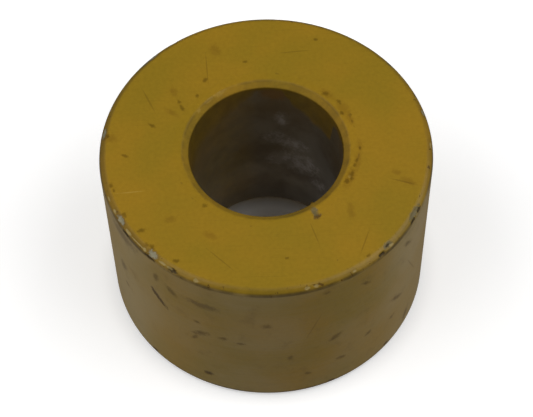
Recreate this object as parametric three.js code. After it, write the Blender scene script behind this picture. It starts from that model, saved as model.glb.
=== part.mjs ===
// A plain track roller: a thick-walled steel ring that turns on a fixed pin, with a hardened wear
// bush pressed into it. It stands on one end face. Millimetres, +Z up along the bore, and the
// origin is the middle of the lower end face.
import * as THREE from 'three';

// Driving dimensions.
const outerDiameter = 108;
const pinBoreDiameter = 50;
const rollerLength = 70;
const bushWall = 5;
const rimChamfer = 1.6;
const mouthChamferWidth = 2.1;
const mouthChamferDepth = 1.5;
// The press fit has no play. This hairline only keeps the two solids apart.
const seatGap = 0.05;
// Both rings are turned with the same facets, so the hairline is even all the way round.
const facetsPerTurn = 144;

const yellowPaint = new THREE.MeshStandardMaterial({
  color: new THREE.Color(0.52, 0.35, 0.03),
  roughness: 0.45,
  metalness: 0,
});
const hardenedSteel = new THREE.MeshStandardMaterial({
  color: new THREE.Color(0.21, 0.18, 0.16),
  roughness: 0.5,
  metalness: 0.8,
});

// A ring with this cross-section: [radius, height] corners, counter-clockwise, closed on itself.
function turnedRing(name, corners, material) {
  const outline = [...corners, corners[0]].map(([radius, height]) => new THREE.Vector2(radius, height));
  const geometry = new THREE.LatheGeometry(outline, facetsPerTurn);
  geometry.rotateX(Math.PI / 2);
  const ring = new THREE.Mesh(geometry, material);
  ring.name = name;
  return ring;
}

// The roller itself: the tread that the track runs on, both end faces and the seat for the bush.
function rollerBody() {
  const treadRadius = outerDiameter / 2;
  const seatRadius = pinBoreDiameter / 2 + bushWall + seatGap;
  const corners = [
    [seatRadius, 0],
    [treadRadius - rimChamfer, 0],
    [treadRadius, rimChamfer],
    [treadRadius, rollerLength - rimChamfer],
    [treadRadius - rimChamfer, rollerLength],
    [seatRadius, rollerLength],
  ];
  return turnedRing('roller_body', corners, yellowPaint);
}

// The wear bush: as long as the roller, flush at both ends, with a lead-in chamfer for the pin.
function boreBush() {
  const boreRadius = pinBoreDiameter / 2;
  const mouthRadius = boreRadius + mouthChamferWidth;
  const outerRadius = boreRadius + bushWall;
  const corners = [
    [mouthRadius, 0],
    [outerRadius, 0],
    [outerRadius, rollerLength],
    [mouthRadius, rollerLength],
    [boreRadius, rollerLength - mouthChamferDepth],
    [boreRadius, mouthChamferDepth],
  ];
  return turnedRing('bore_bush', corners, hardenedSteel);
}

const group = new THREE.Group();
group.add(rollerBody(), boreBush());

export default group;
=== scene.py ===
"""A worn yellow track roller on its end: a thick steel ring with a wear bush pressed in its bore.

Metres, +Z up along the bore. The two rings follow the cross-sections of the CAD frame. Wear is placed
in millimetres, and by degrees round the roller from its front, which faces -Y, growing towards +X.
"""

import math
from collections import namedtuple

import bmesh
import bpy
from mathutils import Matrix, Vector, noise


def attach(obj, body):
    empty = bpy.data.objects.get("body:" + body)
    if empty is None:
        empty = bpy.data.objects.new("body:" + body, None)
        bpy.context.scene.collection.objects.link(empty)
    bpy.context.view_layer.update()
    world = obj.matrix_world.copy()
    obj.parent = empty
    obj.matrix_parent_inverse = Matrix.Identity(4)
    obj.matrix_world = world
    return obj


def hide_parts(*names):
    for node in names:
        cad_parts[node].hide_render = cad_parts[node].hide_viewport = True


bl_info = {
    "name": "Track roller",
    "version": (1, 0, 0),
    "blender": (4, 5, 0),
    "location": "View3D > Sidebar > Roller",
    "description": "A worn yellow track roller with its bore bush, and the studio it stands in",
    "category": "Add Mesh",
}

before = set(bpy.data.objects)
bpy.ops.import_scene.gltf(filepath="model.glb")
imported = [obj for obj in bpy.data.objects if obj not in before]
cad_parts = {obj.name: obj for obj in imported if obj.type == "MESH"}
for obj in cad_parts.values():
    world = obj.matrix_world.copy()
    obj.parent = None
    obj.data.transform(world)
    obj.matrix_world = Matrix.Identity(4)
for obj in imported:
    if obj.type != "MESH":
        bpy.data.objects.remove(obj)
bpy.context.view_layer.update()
MM = 0.001


# Sizes read from the frame, in metres


def section(node):
    """The corners of a turned CAD ring's cross-section, as (radius, height)."""
    places = [vertex.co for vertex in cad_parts[node].data.vertices]
    return sorted({(round(place.xy.length, 6), round(place.z, 6)) for place in places})


BODY_SECTION = section("roller_body")
BUSH_SECTION = section("bore_bush")
LENGTH = max(height for radius, height in BODY_SECTION)
TREAD_RADIUS = max(radius for radius, height in BODY_SECTION)
FACE_RADIUS = max(radius for radius, height in BODY_SECTION if height == LENGTH)
JOINT_RADIUS = max(radius for radius, height in BUSH_SECTION)
MOUTH_RADIUS = min(radius for radius, height in BUSH_SECTION if height == LENGTH)
BORE_RADIUS = min(radius for radius, height in BUSH_SECTION)
RIM_RADIUS = (TREAD_RADIUS + FACE_RADIUS) / 2
RIM_HEIGHT = LENGTH - (TREAD_RADIUS - FACE_RADIUS) / 2

# The same in millimetres, for wear and materials.
END_MM = LENGTH / MM
TREAD_MM = TREAD_RADIUS / MM
FACE_MM = FACE_RADIUS / MM
JOINT_MM = JOINT_RADIUS / MM
MOUTH_MM = MOUTH_RADIUS / MM
BORE_MM = BORE_RADIUS / MM
CHAMFER_MM = TREAD_MM - FACE_MM


# Settings


def length_setting(name, description, default):
    """A length in metres, which the panel shows in the scene's units."""
    return bpy.props.FloatProperty(
        name=name, description=description, default=default, min=0.0, unit="LENGTH", precision=5
    )


def colour_setting(name, description, default):
    """A linear colour."""
    return bpy.props.FloatVectorProperty(
        name=name, description=description, default=default, size=3, min=0.0, max=1.0, subtype="COLOR"
    )


class RollerSizes(bpy.types.PropertyGroup):
    """How the rings are finished and how finely they are meshed."""

    rim_rounding: length_setting("Rim rounding", "Cut back from each rim corner", 0.8 * MM)
    mouth_rounding: length_setting("Mouth rounding", "Cut back from each mouth corner", 0.55 * MM)
    chip_depth: length_setting("Chip depth", "How deep the knocks on the rim go", 0.4 * MM)
    burr_height: length_setting("Burr height", "How far a curl of paint stands into the bore", 0.9 * MM)
    facet: length_setting("Facet", "Longest side of a mesh face along the cross-section", 0.85 * MM)
    wedges: bpy.props.IntProperty(
        name="Wedges", description="Equal wedges that each ring is turned from", default=20, min=3
    )
    wedge_steps: bpy.props.IntProperty(
        name="Wedge steps", description="Mesh faces across each wedge", default=27, min=1
    )


class RollerColours(bpy.types.PropertyGroup):
    """Colours of the enamel, the bare metal and the wear, some of which also paint highlights and shade."""

    enamel: colour_setting("Enamel", "Yellow enamel", (0.325, 0.184, 0.008))
    enamel_deep: colour_setting("Deep enamel", "Enamel where it lies thick", (0.275, 0.172, 0.007))
    # This colour also paints highlights on the bore's mouth.
    pale_highlight_and_rub: colour_setting("Rubbed enamel", "Enamel rubbed pale", (0.50, 0.33, 0.07))
    # The dust colour also stands for a painted sheen at the sides of the tread.
    dust: colour_setting("Dust", "Film of dust on the tread", (0.375, 0.29, 0.15))
    steel: colour_setting("Steel", "Dark bare steel in the bore", (0.185, 0.15, 0.10))
    oxide: colour_setting("Oxide", "Brown film where the bare steel has dulled", (0.11, 0.075, 0.036))
    # This brighter steel paints reflections of the floor on the bush's wall.
    reflection_bright_steel: colour_setting("Polished steel", "Steel where the pin has rubbed it", (0.50, 0.46, 0.43))
    chipped: colour_setting("Primer", "Primer laid bare in a knock", (0.26, 0.25, 0.17))
    # This colour also paints highlight lines along the rim.
    undercoat_and_highlight: colour_setting("Undercoat", "Undercoat where the colour has chipped", (0.34, 0.25, 0.085))
    worn: colour_setting("Worn", "Grey metal laid bare in a knock", (0.115, 0.10, 0.05))
    stain: colour_setting("Stain", "Rust that has bled into the enamel", (0.17, 0.072, 0.003))
    grease: colour_setting("Grease", "Old smears of grease and dirt", (0.075, 0.036, 0.012))
    rust: colour_setting("Rust", "Dark rust specks and scratches", (0.10, 0.048, 0.001))
    # Grime, also laid on as painted shade in the bore, along the rim and under chips.
    grime_and_shade: colour_setting("Grime", "Black grime in dents and corners", (0.034, 0.021, 0.005))


# Wear, painted highlights and painted shadows, in millimetres and degrees: where each mark is, how it lies,
# and its length and width


Mark = namedtuple("Mark", "turn radius height tilt lean length width")


def on_end(turn, radius, length, width, lean=0):
    """A mark on the upper end face. Lean 0 lies along the circumference and 90 along the radius."""
    return Mark(turn, radius, END_MM, 0, lean, length, width)


def on_rim(turn, length, width, drop=0.0):
    """A mark on the rim chamfer, moved down it by drop."""
    slide = drop * math.sqrt(0.5)
    return Mark(turn, RIM_RADIUS / MM + slide, RIM_HEIGHT / MM - slide, 45, 0, length, width)


def on_tread(turn, depth, length, width, lean=0):
    """A mark on the tread, this far below the upper end face. Lean 90 stands upright."""
    return Mark(turn, TREAD_MM, END_MM - depth, 90, lean, length, width)


def in_bore(turn, depth, length, width, lean=0):
    """A mark on the bore's wall, this far below the upper end face."""
    return Mark(turn, BORE_MM, END_MM - depth, -90, lean, length, width)


# Paint knocked off down to pale primer.
PALE_CHIPS = (
    on_rim(-60.8, 3.9, 1.5, -0.4),
    on_rim(-43.0, 3.6, 1.9, -0.4),
    on_rim(-136, 3.0, 1.4, -0.3),
    on_rim(104, 2.4, 1.2),
    on_rim(163, 2.8, 1.3, -0.2),
    on_rim(-98, 3.4, 1.3, -0.3),
)
# Corners where only the colour has chipped to the coat beneath, and long thin pale lines along the rim that
# are painted highlights.
COLOUR_CHIPS_AND_HIGHLIGHTS = (
    on_rim(-71, 2.0, 0.6),
    on_rim(-65.1, 2.0, 1.0),
    on_rim(-55.6, 3.2, 1.0),
    on_rim(-49.5, 7.6, 0.4),
    on_rim(-46.7, 1.7, 1.0),
    on_rim(-38.4, 2.6, 0.8),
    on_rim(-35.3, 2.0, 0.8),
    on_rim(-25.2, 1.7, 1.1),
    on_rim(12.6, 1.7, 1.0),
    on_rim(15.8, 1.6, 0.9),
    on_rim(29.8, 1.4, 0.8),
    on_rim(46, 1.6, 0.8, 0.2),
    on_rim(90, 1.8, 0.9),
    on_rim(121, 5.4, 0.5, 0.2),
    on_rim(148, 1.6, 0.9),
    on_rim(-166, 2.2, 0.9),
    on_rim(-121, 6.4, 0.5, 0.1),
)
# Knocks worn down to grey metal.
GREY_CHIPS = (
    on_rim(61, 6.0, 1.8, -0.4),
    on_rim(45, 3.0, 1.7, -0.6),
    on_end(31.2, 28.7, 3.0, 2.0, 80),
    on_rim(128, 3.2, 1.4),
    on_rim(-132, 4.0, 1.5),
    on_rim(-178, 3.4, 1.4, -0.2),
)
# Knocks with grime or bare dark steel in them, and painted shadows just below the pale chips.
DARK_CHIPS_AND_SHADOWS = (
    on_rim(-33.9, 3.2, 1.5, 0.3),
    on_rim(-43.5, 4.6, 0.9, 1.1),
    on_rim(-55.8, 3.4, 0.8, 1.1),
    on_rim(41.3, 2.6, 1.3, 0.4),
    on_rim(44.7, 1.4, 0.8, -0.5),
    on_rim(58.6, 3.2, 1.0, 0.8),
    on_rim(63.3, 2.4, 0.9, 0.5),
    on_rim(112, 2.6, 1.0, 0.6),
    on_rim(175, 2.4, 1.2, 0.2),
    on_rim(-146, 2.8, 1.1, 0.5),
)
# Gouges through the paint, filled with old grease.
GOUGES = (
    on_end(30.6, 30.8, 2.6, 1.5, 10),
    on_tread(-41.4, 24.2, 8.4, 2.0, -50),
    on_tread(-22.8, 60.4, 2.8, 2.2, 10),
    on_tread(128, 31, 7.0, 1.7, 36),
    on_tread(-148, 47, 6.0, 1.8, -30),
    on_tread(-98, 27, 7.4, 1.8, 48),
    on_tread(-46.8, 66.8, 2.6, 1.5),
    on_tread(47, 66.4, 2.4, 1.2),
    on_tread(22, 67.4, 3.0, 1.2),
)
# Specks and scabs of rust.
RUST_SPECKS = (
    on_end(-97, 51.6, 2.0, 1.0),
    on_end(-75.2, 51.4, 1.6, 1.4),
    on_end(-73, 51.0, 1.2, 0.8),
    on_end(-61.9, 51.3, 1.6, 1.3),
    on_end(-52.8, 50.0, 2.4, 1.2, 70),
    on_end(-47.1, 51.9, 1.6, 1.2),
    on_end(-45.1, 51.2, 1.7, 1.5),
    on_end(-34.7, 50.4, 2.0, 1.3, 40),
    on_end(-87.8, 45.5, 2.0, 1.0, 60),
    on_end(-144.8, 34.0, 1.7, 1.4, 40),
    on_end(-133.9, 30.9, 1.4, 1.0, 30),
    on_end(-124.2, 34.0, 1.6, 1.0, 60),
    on_end(-121.6, 31.9, 2.6, 1.1, 60),
    on_end(-105, 38.2, 2.4, 1.0, 70),
    on_end(-42.5, 29.2, 1.8, 1.2, 50),
    on_end(136.5, 28.9, 2.0, 1.3, 40),
    on_end(125.8, 30.0, 1.8, 1.1),
    on_end(117.6, 28.3, 1.5, 1.0),
    on_end(114.5, 30.5, 1.2, 0.7),
    on_end(109.2, 29.9, 1.0, 0.6),
    on_end(88.4, 30.3, 1.1, 0.7),
    on_end(79.4, 29.6, 1.4, 0.8),
    on_end(75.5, 29.3, 1.5, 1.0),
    on_end(68.4, 29.3, 2.2, 1.3),
    on_end(65.2, 29.8, 1.6, 1.0),
    on_end(62.3, 28.9, 2.2, 1.4),
    on_end(37, 51.6, 1.4, 1.0),
    on_end(8, 41.8, 1.1, 0.8),
    on_end(158, 47.0, 1.5, 1.0),
    on_end(-170, 35.5, 1.4, 0.9),
    on_tread(-41.4, 11.4, 4.4, 2.0, 80),
    on_tread(-35.1, 14.2, 4.6, 2.4, -50),
    on_tread(-25.7, 26.6, 2.0, 1.4),
    on_tread(-24.4, 33.2, 5.6, 2.4, 30),
    on_tread(-27.1, 37.6, 3.4, 1.4, 60),
    on_tread(-16.5, 32.4, 2.8, 1.8, 15),
    on_tread(-10.6, 33.9, 3.0, 1.4),
    on_tread(-1.1, 21.2, 2.8, 2.4, 30),
    on_tread(6.6, 43.5, 3.0, 1.5, 80),
    on_tread(13.1, 56.6, 2.2, 1.5, -35),
    on_tread(19.3, 5.8, 2.4, 1.2),
    on_tread(22.9, 36.9, 5.0, 2.2, 35),
    on_tread(25.6, 53.2, 3.2, 1.7, -20),
    on_tread(34.3, 11.1, 3.6, 1.4, -40),
    on_tread(37, 47, 2.6, 1.8, 40),
    on_tread(55.5, 10.6, 4.6, 2.0, -45),
    on_tread(51.2, 40, 5.8, 2.2, -35),
    on_tread(49, 50.3, 2.4, 1.7),
    on_tread(59.4, 62, 5.6, 2.4, 65),
    on_tread(-60.7, 39.7, 2.6, 1.8),
    on_tread(78, 24, 3.4, 1.5, 20),
    on_tread(84, 50, 4.6, 2.0, -60),
    on_tread(97, 16, 4.0, 1.8, 50),
    on_tread(104, 39, 2.6, 1.6, -10),
    on_tread(112, 52, 5.0, 2.0, -20),
    on_tread(134, 60, 3.4, 1.8, 30),
    on_tread(146, 14, 3.6, 1.8, 15),
    on_tread(163, 26, 2.8, 1.7, -70),
    on_tread(171, 38, 5.4, 2.2, -48),
    on_tread(-174, 58, 3.8, 1.8, 10),
    on_tread(-168, 20, 3.0, 1.6, 70),
    on_tread(-139, 17, 3.2, 1.6, -35),
    on_tread(-129, 29, 5.0, 2.2, 28),
    on_tread(-118, 45, 2.8, 1.7, 75),
    on_tread(-106, 56, 3.6, 2.0, -60),
    on_tread(-91, 12, 4.2, 1.6, 35),
    on_tread(-80, 46, 4.4, 2.0, -25),
)
# Smears of old grease and dirt.
SMEARS = (
    on_tread(-59, 5.5, 14.0, 5.0),
    on_tread(-23.6, 14.3, 10.0, 3.0, -4),
    on_tread(-21.5, 13.9, 6.4, 2.4, -4),
    on_tread(-61.7, 28.5, 3.6, 5.0, -20),
    on_tread(118, 34, 9.0, 4.0, 20),
    on_tread(-155, 28, 11.0, 4.0, -15),
    on_tread(158, 50, 8.0, 5.0, 30),
)
# Rust that has bled into the paint.
STAINS = (
    on_end(-158, 43.2, 4.6, 3.0, 90),
    on_end(46, 36.7, 4.4, 1.8, 60),
    on_end(48.8, 35.1, 2.6, 1.6, 60),
    on_end(75.7, 42.9, 2.8, 1.8, 80),
    on_end(72.6, 47.3, 4.6, 2.0, 80),
    on_end(-29.3, 37.2, 4.0, 2.2),
    on_end(-49.3, 40.3, 3.4, 2.0, 60),
    on_end(-96, 50.6, 4.0, 2.8, 80),
    on_end(-128, 38.0, 3.4, 2.0, 60),
    on_end(-116, 34.0, 4.2, 1.6, 80),
    on_end(66, 29.3, 8.4, 2.6),
    on_end(79, 29.9, 6.8, 2.0),
    on_end(90, 30.3, 4.6, 1.6),
    on_end(111, 29.6, 4.4, 1.8),
    on_end(120, 29.6, 6.4, 3.0),
    on_end(135, 29.4, 5.0, 2.2),
)
# Fine scratches in the paint.
SCRATCHES = (
    on_end(-117.5, 43.0, 9.0, 0.6, 52),
    on_end(72, 45.8, 8.4, 0.6, 90),
    on_end(40, 47.0, 9.0, 0.4, 30),
    on_end(-20, 44.0, 11.0, 0.4, -24),
    on_end(-150, 38.0, 12.0, 0.4, 64),
    on_end(165, 40.0, 10.0, 0.4, 20),
    on_end(24, 36.0, 8.0, 0.4, 84),
    on_tread(15, 25, 14.0, 0.5, 70),
    on_tread(60, 30, 16.0, 0.5, -66),
    on_tread(-112, 36, 18.0, 0.5, 58),
    on_tread(158, 44, 15.0, 0.5, -40),
)
# Painted highlights on the left of the bore's mouth, paint rubbed pale beside the joint, and a pale scuff on
# the end face.
MOUTH_HIGHLIGHTS_AND_RUBS = (
    on_end(-147, 26.7, 4.2, 1.3),
    on_end(-137, 26.9, 3.6, 1.2),
    on_end(-126, 26.6, 1.6, 1.0),
    on_end(66, 29.0, 1.2, 0.9),
    on_end(-70, 46.0, 7.6, 0.4, 75),
)
# A curl of paint that stands into the bore beside the nick.
BURRS = (in_bore(34.5, 1.5, 1.5, 2.2),)
# Brighter polished patches on the bush that paint in reflections of the floor, and a rusty run below its
# mouth.
FLOOR_REFLECTION_PATCHES = (
    in_bore(167.5, 18.8, 3.6, 6.4),
    in_bore(156, 32, 9.0, 5.4),
    in_bore(171, 30, 7.0, 5.0),
    in_bore(150, 42, 17.0, 9.0, 10),
    in_bore(168, 43, 8.0, 5.4),
    in_bore(133, 49, 6.0, 4.6, 20),
    in_bore(24, 36, 9.0, 6.0, 8),
    in_bore(-18, 44, 12.0, 7.0, -6),
)
RUST_RUNS = (in_bore(173, 3.8, 9.5, 8.0), in_bore(-64, 5.0, 8.0, 8.0))

# Enamel in the bore, by degrees: how far down it is full, over what depth it then fades, both in
# millimetres, and how thick its haze lies below that.
OVERSPRAY = (
    (0, 14.0, 6.0, 0.3),
    (60, 9.0, 5.0, 0.15),
    (95, 3.5, 3.0, 0.0),
    (117, 4.0, 3.0, 0.0),
    (121, 15.5, 3.5, 0.0),
    (140, 14.0, 4.0, 0.0),
    (158, 8.5, 3.0, 0.05),
    (167, 2.0, 2.0, 0.08),
    (186, 3.0, 3.0, 0.15),
    (196, 8.0, 10.0, 0.5),
    (215, 19.0, 22.0, 0.76),
    (255, 22.0, 20.0, 0.74),
    (310, 17.0, 10.0, 0.5),
    (360, 14.0, 6.0, 0.3),
)
# A colour ramp holds values up to 1, so it keeps both depths as shares of this.
LONGEST_REACH = 40.0

# How deep a mark goes into the surface that it lies on, in millimetres.
MARK_DEPTH = 1.5


def bearings(mark):
    """Where a mark is, in millimetres, and its axes: along it, across it and out of the surface."""
    turn, lean = math.radians(mark.turn), math.radians(mark.lean)
    place = Vector((mark.radius * math.sin(turn), -mark.radius * math.cos(turn), mark.height))
    axes = (
        Matrix.Rotation(turn, 3, "Z")
        @ Matrix.Rotation(math.radians(mark.tilt), 3, "X")
        @ Matrix.Rotation(lean, 3, "Z")
    )
    return place, axes


# Shader arithmetic


class Wire:
    """An output socket of a shader. Arithmetic on wires adds the Math nodes that work it out."""

    def __init__(self, graph, socket):
        self.graph = graph
        self.socket = socket

    def math(self, operation, *operands):
        return self.graph.add("ShaderNodeMath", dict(enumerate(operands)), operation=operation)

    def __add__(self, other):
        return self.math("ADD", self, other)

    def __sub__(self, other):
        return self.math("SUBTRACT", self, other)

    def __rsub__(self, other):
        return self.math("SUBTRACT", other, self)

    def __mul__(self, other):
        return self.math("MULTIPLY", self, other)

    def __truediv__(self, other):
        return self.math("DIVIDE", self, other)

    def __abs__(self):
        return self.math("ABSOLUTE", self)

    __radd__ = __add__
    __rmul__ = __mul__

    def least(self, other):
        return self.math("MINIMUM", self, other)

    def most(self, other):
        return self.math("MAXIMUM", self, other)


class Graph:
    """The node tree of a world or a material, built up node by node."""

    def __init__(self, owner):
        owner.use_nodes = True
        self.owner = owner
        self.tree = owner.node_tree
        self.tree.nodes.clear()

    def add(self, kind, inputs=None, output=0, stops=None, **settings):
        """Adds a node, its settings before its sockets, and returns one output or several."""
        node = self.tree.nodes.new(kind)
        for name, value in settings.items():
            setattr(node, name, value)
        if stops:
            set_stops(node.color_ramp, stops)
        for name, value in (inputs or {}).items():
            if isinstance(value, Wire):
                self.tree.links.new(value.socket, node.inputs[name])
            else:
                node.inputs[name].default_value = value
        if isinstance(output, tuple):
            return [Wire(self, node.outputs[name]) for name in output]
        return Wire(self, node.outputs[output]) if node.outputs else None


class SurfaceGraph(Graph):
    """The node tree of a new material, with the place on its piece in millimetres."""

    def __init__(self, name):
        super().__init__(bpy.data.materials.new(name))
        coordinates = self.add("ShaderNodeTexCoord", output="Object")
        self.place = self.vector("SCALE", coordinates, Scale=1 / MM)
        self.x, self.y, self.z = self.add("ShaderNodeSeparateXYZ", {0: self.place}, output=("X", "Y", "Z"))
        self.radius = self.vector("LENGTH", self.vector("MULTIPLY", self.place, (1, 1, 0)), output="Value")
        self.end_gap = END_MM / 2 - abs(self.z - END_MM / 2)

    def vector(self, operation, *operands, output=0, **sockets):
        """One step of vector arithmetic."""
        inputs = {**dict(enumerate(operands)), **sockets}
        return self.add("ShaderNodeVectorMath", inputs, output=output, operation=operation)

    def noise(self, scale, detail=2.0, roughness=0.5, place=None, offset=0.0):
        """Even noise about 0.5, with this many cells to a millimetre. Each offset gives another pattern."""
        moved = self.vector("ADD", place or self.place, (offset,) * 3)
        inputs = {"Vector": moved, "Scale": scale, "Detail": detail, "Roughness": roughness}
        return self.add("ShaderNodeTexNoise", inputs)

    def blend(self, factor, first, second):
        """The first colour where factor is 0 and the second where it is 1."""
        inputs = {"Factor": factor, 6: first, 7: second}
        return self.add("ShaderNodeMix", inputs, output=2, data_type="RGBA", clamp_factor=True)


def set_stops(ramp, stops):
    """Gives a colour ramp these (position, colour) stops."""
    for number, (position, colour) in enumerate(stops):
        element = ramp.elements[number] if number < 2 else ramp.elements.new(position)
        element.position = position
        element.color = colour4(colour)


def colour4(colour):
    return (*colour, 1.0)


def ease(value, start, end):
    """0 where value is at start and 1 where it is at end, smoothly between."""
    inputs = {"Value": value, "From Min": start, "From Max": end}
    return value.graph.add("ShaderNodeMapRange", inputs, interpolation_type="SMOOTHSTEP")


# How strongly paint and steel reflect straight on, and how far a dusty sheen spreads.
SPECULAR_LEVEL = 0.3
SHEEN_ROUGHNESS = 0.5


class Finish:
    """The look of a surface, built up in coats. Heights are in millimetres."""

    def __init__(self, graph, colour, roughness, metallic, height):
        self.graph = graph
        self.colour = colour
        self.roughness = roughness
        self.metallic = metallic
        self.height = height

    def cover(self, mask, colour=None, roughness=None, metallic=None, rise=0.0):
        """Lays a coat over the surface where mask is 1. What isn't given stays as it is."""
        if colour is not None:
            self.colour = self.graph.blend(mask, self.colour, colour)
        if roughness is not None:
            self.roughness = self.roughness + mask * (roughness - self.roughness)
        if metallic is not None:
            self.metallic = self.metallic + mask * (metallic - self.metallic)
        if rise:
            self.height = self.height + mask * rise

    def material(self, sheen=0.0):
        """Ends the tree in one shader with this finish, under this much dusty sheen."""
        normal = self.graph.add("ShaderNodeBump", {"Height": self.height, "Distance": MM})
        sockets = {
            "Base Color": self.colour,
            "Roughness": self.roughness,
            "Metallic": self.metallic,
            "Specular IOR Level": SPECULAR_LEVEL,
            "Sheen Weight": sheen,
            "Sheen Roughness": SHEEN_ROUGHNESS,
            "Normal": normal,
        }
        surface = self.graph.add("ShaderNodeBsdfPrincipled", sockets)
        self.graph.add("ShaderNodeOutputMaterial", {"Surface": surface})
        return self.graph.owner


# Masks: 1 where the thing named is, and 0 elsewhere


def inside_marks(graph, marks, ragged, soft):
    """Inside any of these marks, with edges this ragged and this soft."""
    nearest = None
    for mark in marks:
        place, axes = bearings(mark)
        turned = {"Vector": graph.place, "Center": place, "Rotation": axes.to_euler()}
        level = graph.add("ShaderNodeVectorRotate", turned, rotation_type="EULER_XYZ", invert=True)
        shrink = Vector((2 / mark.length, 2 / mark.width, 1 / MARK_DEPTH))
        scaled = graph.vector("MULTIPLY", level, shrink)
        reach = graph.vector("DISTANCE", scaled, place * shrink, output="Value")
        nearest = reach.least(nearest) if nearest else reach
    wobble = (graph.noise(0.9, detail=5.0, roughness=0.7) - 0.5) * (3 * ragged)
    return ease(nearest + wobble, 1 + soft / 2, 1 - soft / 2)


def on_tread_band(graph):
    """The tread, between the two rim chamfers."""
    return ease(graph.radius, TREAD_MM - 0.5, TREAD_MM - 0.05)


def on_rim_band(graph):
    """The rim chamfers at both ends, and a little of the faces beside them."""
    near_end = ease(graph.end_gap, CHAMFER_MM * 2, CHAMFER_MM * 0.9)
    return near_end * ease(graph.radius, FACE_MM - 0.9, FACE_MM)


def hairlines(graph, heading, offset):
    """Long fine scratches across the end faces, at this heading in degrees."""
    turn = (0, 0, math.radians(heading))
    inputs = {"Vector": graph.place, "Rotation": turn, "Scale": (0.03, 2.2, 0.3)}
    stretched = graph.add("ShaderNodeMapping", inputs)
    fibres = graph.noise(1.0, detail=1.0, place=stretched, offset=offset)
    return ease(fibres, 0.66, 0.74) * ease(graph.noise(0.06, offset=offset), 0.46, 0.62)


def specks(graph, spacing, size, share, offset):
    """Scattered round specks, in this share of the cells of a loose grid."""
    cells = {"Vector": graph.vector("ADD", graph.place, (offset,) * 3), "Scale": 1 / spacing}
    distance, colour = graph.add("ShaderNodeTexVoronoi", cells, output=("Distance", "Color"))
    draw = graph.add("ShaderNodeSeparateColor", {0: colour}, output="Red")
    chosen = ease(draw, 1 - share, 1 - share + 0.01)
    wobble = (graph.noise(1.4) - 0.5) * (size / spacing)
    return ease(distance + wobble, size / spacing, size / spacing * 0.5) * chosen


# Finishes


def enamel_finish(graph, colours):
    """Satin yellow enamel: uneven in tone, with a little orange peel and fine hairlines."""
    cloud = ease(graph.noise(0.035, detail=4.0), 0.32, 0.68)
    grain = graph.noise(0.8, detail=3.0)
    tone = graph.blend(cloud, colour4(colours.enamel_deep), colour4(colours.enamel))
    tone = graph.add("ShaderNodeHueSaturation", {"Value": 0.87 + grain * 0.26, "Color": tone})
    peel = graph.noise(0.35, detail=1.0, offset=7.0) * 0.03
    finish = Finish(graph, tone, 0.36 + grain * 0.08, 0.0, peel + grain * 0.006)
    lines = hairlines(graph, 24, 3.0).most(hairlines(graph, -52, 11.0)).most(hairlines(graph, 80, 19.0))
    finish.cover(lines * 0.13, colour4(colours.rust), 0.5, rise=-0.01)
    return finish


def dust_tread(graph, finish, colours):
    """Greys the tread with a thin uneven film of dust and painted sheen, with faint turning lines and a brown
    mottle.
    """
    around = graph.vector("MULTIPLY", graph.place, (0.05, 0.05, 0.9))
    lines = graph.noise(1.0, detail=3.0, place=around, offset=15.0)
    patches = ease(graph.noise(0.035, detail=5.0, offset=23.0), 0.36, 0.64)
    # Dust and a painted sheen lie heavier at both sides; dust is thinner in an upright band a little to the
    # right.
    sides_dust_and_sheen = ease(abs(graph.x), 30.0, 50.0)
    cleaner = ease(abs(graph.x - 22.0), 22.0, 6.0)
    thickness = 0.14 + patches * 0.24 + lines * 0.22 + sides_dust_and_sheen * 0.3 - cleaner * 0.12
    film = on_tread_band(graph) * thickness
    finish.cover(film, colour4(colours.dust), 0.46)
    mottle = ease(graph.noise(0.14, detail=6.0, roughness=0.62, offset=37.0), 0.54, 0.72)
    finish.cover(mottle * on_tread_band(graph) * 0.2, colour4(colours.rust))


def wear_enamel(graph, finish, colours, inner, outer):
    """Specks, smears, scratches, knocks, painted highlights and painted shadows on the part between two
    radii, in millimetres.
    """

    def lay(marks, strength, colour, ragged, soft, **coat):
        """Covers the marks of this list that touch this part."""
        near = [m for m in marks if m.radius + m.length / 2 > inner and m.radius - m.length / 2 < outer]
        if near:
            mask = inside_marks(graph, near, ragged, soft)
            finish.cover(mask * strength, colour4(colour), **coat)

    lay(SMEARS, 0.42, colours.grease, ragged=0.9, soft=1.3, metallic=0.3)
    lay(STAINS, 0.26, colours.stain, ragged=0.9, soft=1.3, metallic=0.3)
    lay(SCRATCHES, 0.32, colours.rust, ragged=0.4, soft=0.8)
    # Painted highlights on the mouth, and pale rubs and scuffs.
    lay(MOUTH_HIGHLIGHTS_AND_RUBS, 0.34, colours.pale_highlight_and_rub, ragged=0.8, soft=0.8)
    scattered = specks(graph, spacing=9.0, size=0.5, share=0.10, offset=5.0)
    finish.cover(scattered * 0.4, colour4(colours.rust), 0.6)
    lay(RUST_SPECKS, 0.41, colours.rust, ragged=1.0, soft=1.3, metallic=0.7)
    lay(GOUGES, 0.76, colours.grease, ragged=0.9, soft=0.9, roughness=0.5, metallic=0.3, rise=-0.12)
    lay(GREY_CHIPS, 0.8, colours.worn, ragged=0.9, soft=0.8, roughness=0.5, rise=-0.06)
    lay(DARK_CHIPS_AND_SHADOWS, 0.9, colours.grime_and_shade, ragged=0.7, soft=0.6, roughness=0.5, metallic=0.4, rise=-0.06)
    rusty_edges = [m._replace(length=m.length * 1.2 + 0.6, width=m.width * 1.2 + 0.6) for m in PALE_CHIPS]
    lay(rusty_edges, 0.5, colours.rust, ragged=0.8, soft=0.8, roughness=0.6)
    lay(COLOUR_CHIPS_AND_HIGHLIGHTS, 0.85, colours.undercoat_and_highlight, ragged=0.7, soft=0.8, roughness=0.5, rise=-0.04)
    lay(PALE_CHIPS, 0.78, colours.chipped, ragged=1.0, soft=0.7, roughness=0.5, rise=-0.06)


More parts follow.
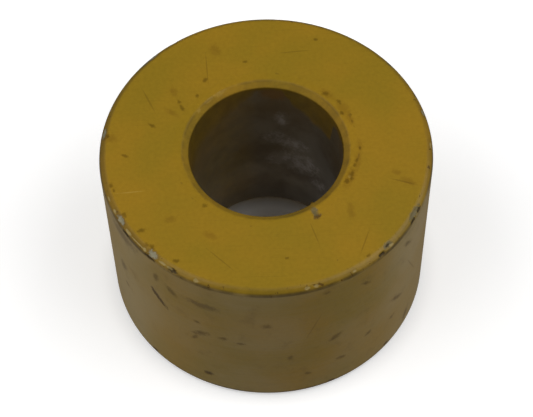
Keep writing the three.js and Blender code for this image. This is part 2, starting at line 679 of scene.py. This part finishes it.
def wear_rim(graph, finish, colours):
    """Dulls the rim chamfers, darkens their left side and blackens their outer corners with grime and painted
    shade, and breaks small rusty chips from them.
    """
    below = graph.end_gap - CHAMFER_MM
    outside = ease(graph.radius, FACE_MM - 1.0, FACE_MM + 0.2)
    broken = ease(graph.noise(0.12, detail=4.0, offset=31.0), 0.3, 0.6)
    worn = ease(below, 0.6, -0.4) * outside
    finish.cover(worn * (0.08 + broken * 0.14), colour4(colours.grime_and_shade), metallic=0.2)
    # The left side is duller, and darker with painted shade.
    left_dull_and_shade = ease(graph.x, -20.0, -42.0) * worn
    finish.cover(left_dull_and_shade * 0.2, colour4(colours.grime_and_shade))
    finish.cover(left_dull_and_shade, roughness=0.7, metallic=0.25)
    # A dark line just below each chamfer, partly grime and partly painted shade where the corner misses the
    # floor's reflection.
    corner = ease(abs(below - 0.3), 1.1, 0.2) * outside
    finish.cover(corner * (0.16 + broken * 0.46), colour4(colours.grime_and_shade), metallic=0.3)
    chips = ease(graph.noise(0.6, detail=4.0, offset=43.0), 0.65, 0.68) * on_rim_band(graph)
    finish.cover(chips * 0.85, colour4(colours.rust), 0.6, 0.2, rise=-0.05)


def rust_joint(graph, finish, colours):
    """Lets rust through the paint in places along the joint between body and bush."""
    near = ease(abs(graph.radius - JOINT_MM), 0.5, 0.1) * ease(graph.end_gap, 0.3, 0.1)
    broken = ease(graph.noise(0.22, detail=3.0, offset=57.0), 0.56, 0.66)
    finish.cover(near * broken * 0.35, colour4(colours.rust), 0.6)


def body_material(colours):
    """Yellow enamel all over. The seat behind the bush is never seen."""
    graph = SurfaceGraph("yellow enamel")
    finish = enamel_finish(graph, colours)
    dust_tread(graph, finish, colours)
    rust_joint(graph, finish, colours)
    wear_rim(graph, finish, colours)
    wear_enamel(graph, finish, colours, JOINT_MM, math.inf)
    return finish.material(sheen=0.02)


def steel_finish(graph, colours):
    """Dark hardened steel, blotched by oil and rust, with fine honing lines, painted shade on its right side
    and brighter patches painted in as reflections of the floor.
    """
    blotch = ease(graph.noise(0.07, detail=5.0, offset=61.0), 0.35, 0.65)
    tone = graph.blend(blotch, colour4(colours.steel), colour4(colours.oxide))
    around = graph.vector("MULTIPLY", graph.place, (0.05, 0.05, 3.0))
    honing = graph.noise(1.0, place=around)
    finish = Finish(graph, tone, 0.42 + blotch * 0.12, 0.7 - blotch * 0.3, honing * 0.01)
    # Painted shade darkens the right side of the bore.
    bore_right_shade = ease(graph.x, 8.0, 23.0)
    finish.cover(bore_right_shade * 0.5, colour4(colours.grime_and_shade))
    broken = 0.14 + ease(graph.noise(0.3, detail=5.0, roughness=0.65, offset=67.0), 0.4, 0.6) * 0.3
    # Brighter steel painted where the bush's wall reflects the floor.
    rubbed = inside_marks(graph, FLOOR_REFLECTION_PATCHES, ragged=0.8, soft=1.7)
    finish.cover(rubbed * broken, colour4(colours.reflection_bright_steel), 0.4, 0.6)
    rusty = inside_marks(graph, RUST_RUNS, ragged=0.5, soft=0.8)
    finish.cover(rusty * 0.6, colour4(colours.stain), 0.5, 0.5)
    return finish


def overspray(graph):
    """Where enamel has run over the mouth into the bore, and its haze below."""
    turn = graph.x.math("ARCTAN2", graph.x, 0 - graph.y) / math.tau
    turn = turn.math("FRACT", turn + 1.0)
    stops = [
        (at / 360, (reach / LONGEST_REACH, fade / LONGEST_REACH, haze)) for at, reach, fade, haze in OVERSPRAY
    ]
    keyed = graph.add("ShaderNodeValToRGB", {"Fac": turn}, stops=stops)
    reach, fade, haze = graph.add("ShaderNodeSeparateColor", {0: keyed}, output=("Red", "Green", "Blue"))
    reach = reach * LONGEST_REACH
    fade = fade * (LONGEST_REACH / 2)
    # Less ran in at the lower end.
    less_below = ease(graph.z, END_MM * 0.6, END_MM * 0.4) * 9.0
    depth = graph.end_gap + less_below + (graph.noise(0.25, detail=4.0, offset=71.0) - 0.5) * 5.0
    return ease(depth, reach + fade, reach - fade).most(haze)


def bush_material(colours):
    """Bare steel in the bore, enamel over the ends, the mouths and as far in as the spray reached."""
    graph = SurfaceGraph("bush steel and enamel")
    steel = steel_finish(graph, colours)
    enamel = enamel_finish(graph, colours)
    rust_joint(graph, enamel, colours)
    wear_enamel(graph, enamel, colours, 0, JOINT_MM)
    wall = ease(graph.radius, BORE_MM + 0.3, BORE_MM + 0.05)
    mouth = ease(graph.radius, MOUTH_MM + 0.4, MOUTH_MM - 0.4)
    # Painted shade darkens the mouth and the bore's wall, most on the right of the mouth and towards the
    # front, broken up by uneven grime.
    mouth_right_shade = ease(graph.x, -8.0, 22.0) * (0.1 + ease(graph.y, 16.0, -12.0) * 0.16)
    uneven = ease(graph.noise(0.25, detail=5.0, offset=83.0), 0.35, 0.65) * 0.16
    enamel.cover(mouth * (0.05 + mouth_right_shade + uneven) + wall * 0.18, colour4(colours.grime_and_shade))
    enamel.cover(mouth, roughness=0.8, metallic=0.18)
    enamel.cover(wall, roughness=0.45, metallic=0.65)
    lip = ease(abs(graph.radius - MOUTH_MM), 0.8, 0.1) * ease(graph.end_gap, 0.6, 0.2)
    enamel.cover(lip * uneven * 1.6, colour4(colours.grime_and_shade))
    painted = 1 - wall * (1 - overspray(graph) * 0.9)
    steel.cover(painted, enamel.colour, enamel.roughness, enamel.metallic)
    steel.height = steel.height + painted * (enamel.height - steel.height)
    # Painted shadow darkens the lower end of the bore's wall.
    bore_foot_shadow = ease(graph.z, 18.0, 3.0) * wall
    steel.cover(bore_foot_shadow * 0.6, colour4(colours.grime_and_shade))
    return steel.material()


def floor_material(name, rings):
    """Matt floor. Each ring is a radius in millimetres, the grey there and the glow there."""
    graph = SurfaceGraph(name)
    reach = rings[-1][0]
    sockets = {"Roughness": 0.9, "Specular IOR Level": 0.0, "Emission Strength": 1.0}
    for column, socket in ((1, "Base Color"), (2, "Emission Color")):
        stops = [(ring[0] / reach, (ring[column],) * 3) for ring in rings]
        sockets[socket] = graph.add("ShaderNodeValToRGB", {"Fac": graph.radius / reach}, stops=stops)
    surface = graph.add("ShaderNodeBsdfPrincipled", sockets)
    graph.add("ShaderNodeOutputMaterial", {"Surface": surface})
    return graph.owner


# Meshes


# Edges that turn more than this stay sharp.
SHARP_ANGLE = math.radians(60)
# Vertices closer than this are one.
MERGE_DISTANCE = 0.005 * MM
# Faces across each rounded corner.
ROUNDING_STEPS = 5


def cross_section(mesh, corners, rounded, rounding, facet):
    """Draws a convex cross-section as a closed wire, rounds some corners and divides the sides in sight."""
    middle = sum((Vector(corner) for corner in corners), Vector((0, 0))) / len(corners)
    ordered = sorted(corners, key=lambda corner: math.atan2(corner[1] - middle.y, corner[0] - middle.x))
    verts = [mesh.verts.new((radius, 0, height)) for radius, height in ordered]
    for start, end in zip(verts, verts[1:] + verts[:1]):
        mesh.edges.new((start, end))
    bmesh.ops.bevel(
        mesh,
        geom=[vert for vert in verts if rounded(vert.co.x)],
        offset=rounding,
        affect="VERTICES",
        segments=ROUNDING_STEPS,
        profile=0.5,
        material=-1,
    )
    for edge in list(mesh.edges):
        hidden = all(abs(vert.co.x - JOINT_RADIUS) < MERGE_DISTANCE for vert in edge.verts)
        cuts = 0 if hidden else math.ceil(edge.calc_length() / facet) - 1
        if cuts > 0:
            bmesh.ops.subdivide_edges(mesh, edges=[edge], cuts=cuts)


def knock(mesh, mark, depth):
    """Dents the surface along a mark, raggedly and deepest in the middle."""
    place, axes = bearings(mark)
    inward = -axes.col[2] * depth
    to_mark = axes.transposed()
    for vert in mesh.verts:
        away = vert.co / MM - place
        if away.length_squared > mark.length ** 2:
            continue
        along, across, out = to_mark @ away
        reach = (along * 2 / mark.length) ** 2 + (across * 2 / mark.width) ** 2 + (out / 2) ** 2
        if reach < 1:
            ragged = 0.8 + 0.5 * noise.noise(away * 1.7)
            vert.co += inward * (1 - reach) * ragged


def turned_ring(name, corners, rounded, rounding, sizes):
    """Turns a ring from its cross-section and knocks the chips out of it."""
    mesh = bmesh.new()
    cross_section(mesh, corners, rounded, rounding, sizes.facet)
    wedge = math.tau / sizes.wedges
    turn = {"axis": (0, 0, 1), "cent": (0, 0, 0)}
    profile = mesh.verts[:] + mesh.edges[:]
    bmesh.ops.spin(mesh, geom=profile, angle=wedge, steps=sizes.wedge_steps, **turn)
    copied = mesh.verts[:] + mesh.edges[:] + mesh.faces[:]
    others = sizes.wedges - 1
    bmesh.ops.spin(mesh, geom=copied, angle=wedge * others, steps=others, use_duplicate=True, **turn)
    bmesh.ops.remove_doubles(mesh, verts=mesh.verts, dist=MERGE_DISTANCE)
    bmesh.ops.recalc_face_normals(mesh, faces=mesh.faces)
    for edge in mesh.edges:
        edge.smooth = edge.calc_face_angle() < SHARP_ANGLE
    for mark in (*PALE_CHIPS, *COLOUR_CHIPS_AND_HIGHLIGHTS, *GREY_CHIPS, *DARK_CHIPS_AND_SHADOWS):
        knock(mesh, mark, sizes.chip_depth)
    for mark in BURRS:
        knock(mesh, mark, -sizes.burr_height)
    for face in mesh.faces:
        face.smooth = True
    return new_piece(name, mesh)


def new_piece(name, mesh):
    """Makes an object at the origin from a finished bmesh."""
    data = bpy.data.meshes.new(name)
    mesh.to_mesh(data)
    mesh.free()
    piece = bpy.data.objects.new(name, data)
    bpy.context.scene.collection.objects.link(piece)
    return piece


# Stage


# The floor that the camera sees, and the one that lights the roller, just under it. Radii and
# heights are in metres. The rings give the radius in millimetres, the grey and the glow.
SEEN_FLOOR_RADIUS = 6.0
SEEN_FLOOR_SHADOW_AND_GLOW_RINGS = (
    # The grey dips at the bore's edge to paint a contact shadow, and the glow is painted light that brightens
    # the open floor.
    (21, 0.95, 0.0),
    (25.5, 0.45, 0.0),
    (35, 0.85, 0.0),
    (60, 0.85, 0.42),
    (160, 0.85, 0.5),
    (420, 0.0, 0.95),
)
FELT_FLOOR_RADIUS = 0.2
FELT_FLOOR_RINGS = ((26, 0.85, 0.12), (51, 0.21, 0.0))
FELT_FLOOR_HEIGHT = -0.1 * MM
FLOOR_SIDES = 96

# How bright the backdrop looks, and how brightly it lights the roller.
BACKDROP_SEEN = 0.95
BACKDROP_FELT = 0.1

# Softboxes: how far round the roller from its front and how high each hangs, in degrees. They
# are alike in distance and side, in metres, and in power, in watts.
SOFTBOXES = {"left softbox": (-80, 40), "right softbox": (80, 44)}
SOFTBOX_DISTANCE = 1.3
SOFTBOX_SIDE = 1.5
SOFTBOX_POWER = 13.4

# A long lens well above the front, a touch off level. Degrees, metres, and millimetres of lens.
CAMERA_RISE = 57.76
CAMERA_ROLL = -1.39
CAMERA_DISTANCE = 0.6008
CAMERA_LENS = 119.6
# Where the camera aims, from the middle of the roller: along X, and along the camera's own up.
AIM_ASIDE = -0.29 * MM
AIM_RAISED = -0.84 * MM


def floor_disc(name, radius, height, material):
    """A flat round floor under the roller."""
    mesh = bmesh.new()
    bmesh.ops.create_circle(mesh, cap_ends=True, segments=FLOOR_SIDES, radius=radius)
    bmesh.ops.translate(mesh, verts=mesh.verts, vec=(0, 0, height))
    disc = new_piece(name, mesh)
    disc.data.materials.append(material)
    return disc


def direction(turn, rise):
    """The unit vector at this many degrees round the roller from its front and above the horizon."""
    turn, rise = math.radians(turn), math.radians(rise)
    return Vector((math.sin(turn) * math.cos(rise), -math.cos(turn) * math.cos(rise), math.sin(rise)))


def hang_softbox(name, turn, rise):
    """A square softbox that faces the roller."""
    lamp = bpy.data.lights.new(name, "AREA")
    lamp.size = SOFTBOX_SIDE
    lamp.energy = SOFTBOX_POWER
    light = bpy.data.objects.new(name, lamp)
    away = direction(turn, rise)
    light.location = away * SOFTBOX_DISTANCE + Vector((0, 0, LENGTH / 2))
    light.rotation_euler = away.to_track_quat("Z", "Y").to_euler()
    bpy.context.scene.collection.objects.link(light)


def place_camera():
    """Looks down on the roller from its front."""
    data = bpy.data.cameras.new("camera")
    data.lens = CAMERA_LENS
    camera = bpy.data.objects.new("camera", data)
    away = direction(0, CAMERA_RISE)
    level = away.to_track_quat("Z", "Y").to_matrix()
    aim = Vector((AIM_ASIDE, 0, LENGTH / 2)) + level.col[1] * AIM_RAISED
    camera.location = aim + away * CAMERA_DISTANCE
    camera.rotation_euler = (level @ Matrix.Rotation(math.radians(CAMERA_ROLL), 3, "Z")).to_euler()
    bpy.context.scene.collection.objects.link(camera)
    bpy.context.scene.camera = camera


def fill_air():
    """A pale backdrop for the camera, and dimmer light from all round for the roller."""
    graph = Graph(bpy.data.worlds.new("studio air"))
    felt, seen = [
        graph.add("ShaderNodeBackground", {"Color": (1, 1, 1, 1), "Strength": strength})
        for strength in (BACKDROP_FELT, BACKDROP_SEEN)
    ]
    by_camera = graph.add("ShaderNodeLightPath", output="Is Camera Ray")
    mixed = graph.add("ShaderNodeMixShader", {0: by_camera, 1: felt, 2: seen})
    graph.add("ShaderNodeOutputWorld", {"Surface": mixed})
    bpy.context.scene.world = graph.owner


# Operators


def place_piece(piece, material, node):
    """Finishes a ring and has it stand for its CAD node."""
    shading = piece.modifiers.new("Even shading", "WEIGHTED_NORMAL")
    shading.keep_sharp = True
    piece.data.materials.append(material)
    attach(piece, "root")
    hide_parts(node)


class ROLLER_OT_make_body(bpy.types.Operator):
    """Turns the roller body, chips its rim and paints it"""

    bl_idname = "roller.make_body"
    bl_label = "Make the roller body"

    def execute(self, context):
        sizes = context.scene.roller_sizes

        def at_rim(radius):
            return radius > FACE_RADIUS - MM

        # The body reaches in to the bush, so that no gap shows at the joint.
        corners = [(radius if at_rim(radius) else JOINT_RADIUS, height) for radius, height in BODY_SECTION]
        piece = turned_ring("painted_roller_body", corners, at_rim, sizes.rim_rounding, sizes)
        place_piece(piece, body_material(context.scene.roller_colours), "roller_body")
        return {"FINISHED"}


class ROLLER_OT_make_bush(bpy.types.Operator):
    """Turns the bore bush, flush with the body and painted over at its ends"""

    bl_idname = "roller.make_bush"
    bl_label = "Make the bore bush"

    def execute(self, context):
        sizes = context.scene.roller_sizes

        def at_mouth(radius):
            return radius < MOUTH_RADIUS + MM

        piece = turned_ring("bore_bush_sleeve", BUSH_SECTION, at_mouth, sizes.mouth_rounding, sizes)
        place_piece(piece, bush_material(context.scene.roller_colours), "bore_bush")
        return {"FINISHED"}


class ROLLER_OT_set_stage(bpy.types.Operator):
    """Lays the floor, hangs the soft lights and places the camera"""

    bl_idname = "roller.set_stage"
    bl_label = "Set the stage"

    def execute(self, context):
        context.scene.view_settings.view_transform = "Standard"
        pale = floor_material("pale floor", SEEN_FLOOR_SHADOW_AND_GLOW_RINGS)
        seen = floor_disc("floor_seen", SEEN_FLOOR_RADIUS, 0.0, pale)
        seen.visible_diffuse = False
        seen.visible_glossy = False
        seen.visible_shadow = False
        grey = floor_material("grey floor", FELT_FLOOR_RINGS)
        felt = floor_disc("floor_felt", FELT_FLOOR_RADIUS, FELT_FLOOR_HEIGHT, grey)
        felt.visible_camera = False
        for name, (turn, rise) in SOFTBOXES.items():
            hang_softbox(name, turn, rise)
        fill_air()
        place_camera()
        return {"FINISHED"}


class ROLLER_PT_sidebar(bpy.types.Panel):
    """Lists the settings and the steps that build the roller"""

    bl_idname = "ROLLER_PT_sidebar"
    bl_label = "Track roller"
    bl_space_type = "VIEW_3D"
    bl_region_type = "UI"
    bl_category = "Roller"

    def draw(self, context):
        for group in (context.scene.roller_sizes, context.scene.roller_colours):
            for name in group.__annotations__:
                self.layout.prop(group, name)
        for step in STEPS:
            self.layout.operator(step.bl_idname)


STEPS = (ROLLER_OT_make_body, ROLLER_OT_make_bush, ROLLER_OT_set_stage)
CLASSES = (RollerSizes, RollerColours, *STEPS, ROLLER_PT_sidebar)


def register():
    for cls in CLASSES:
        bpy.utils.register_class(cls)
    bpy.types.Scene.roller_sizes = bpy.props.PointerProperty(type=RollerSizes)
    bpy.types.Scene.roller_colours = bpy.props.PointerProperty(type=RollerColours)


def unregister():
    del bpy.types.Scene.roller_colours
    del bpy.types.Scene.roller_sizes
    for cls in reversed(CLASSES):
        bpy.utils.unregister_class(cls)


def main():
    register()
    bpy.ops.roller.make_body()
    bpy.ops.roller.make_bush()
    bpy.ops.roller.set_stage()


if __name__ == "__main__":
    main()
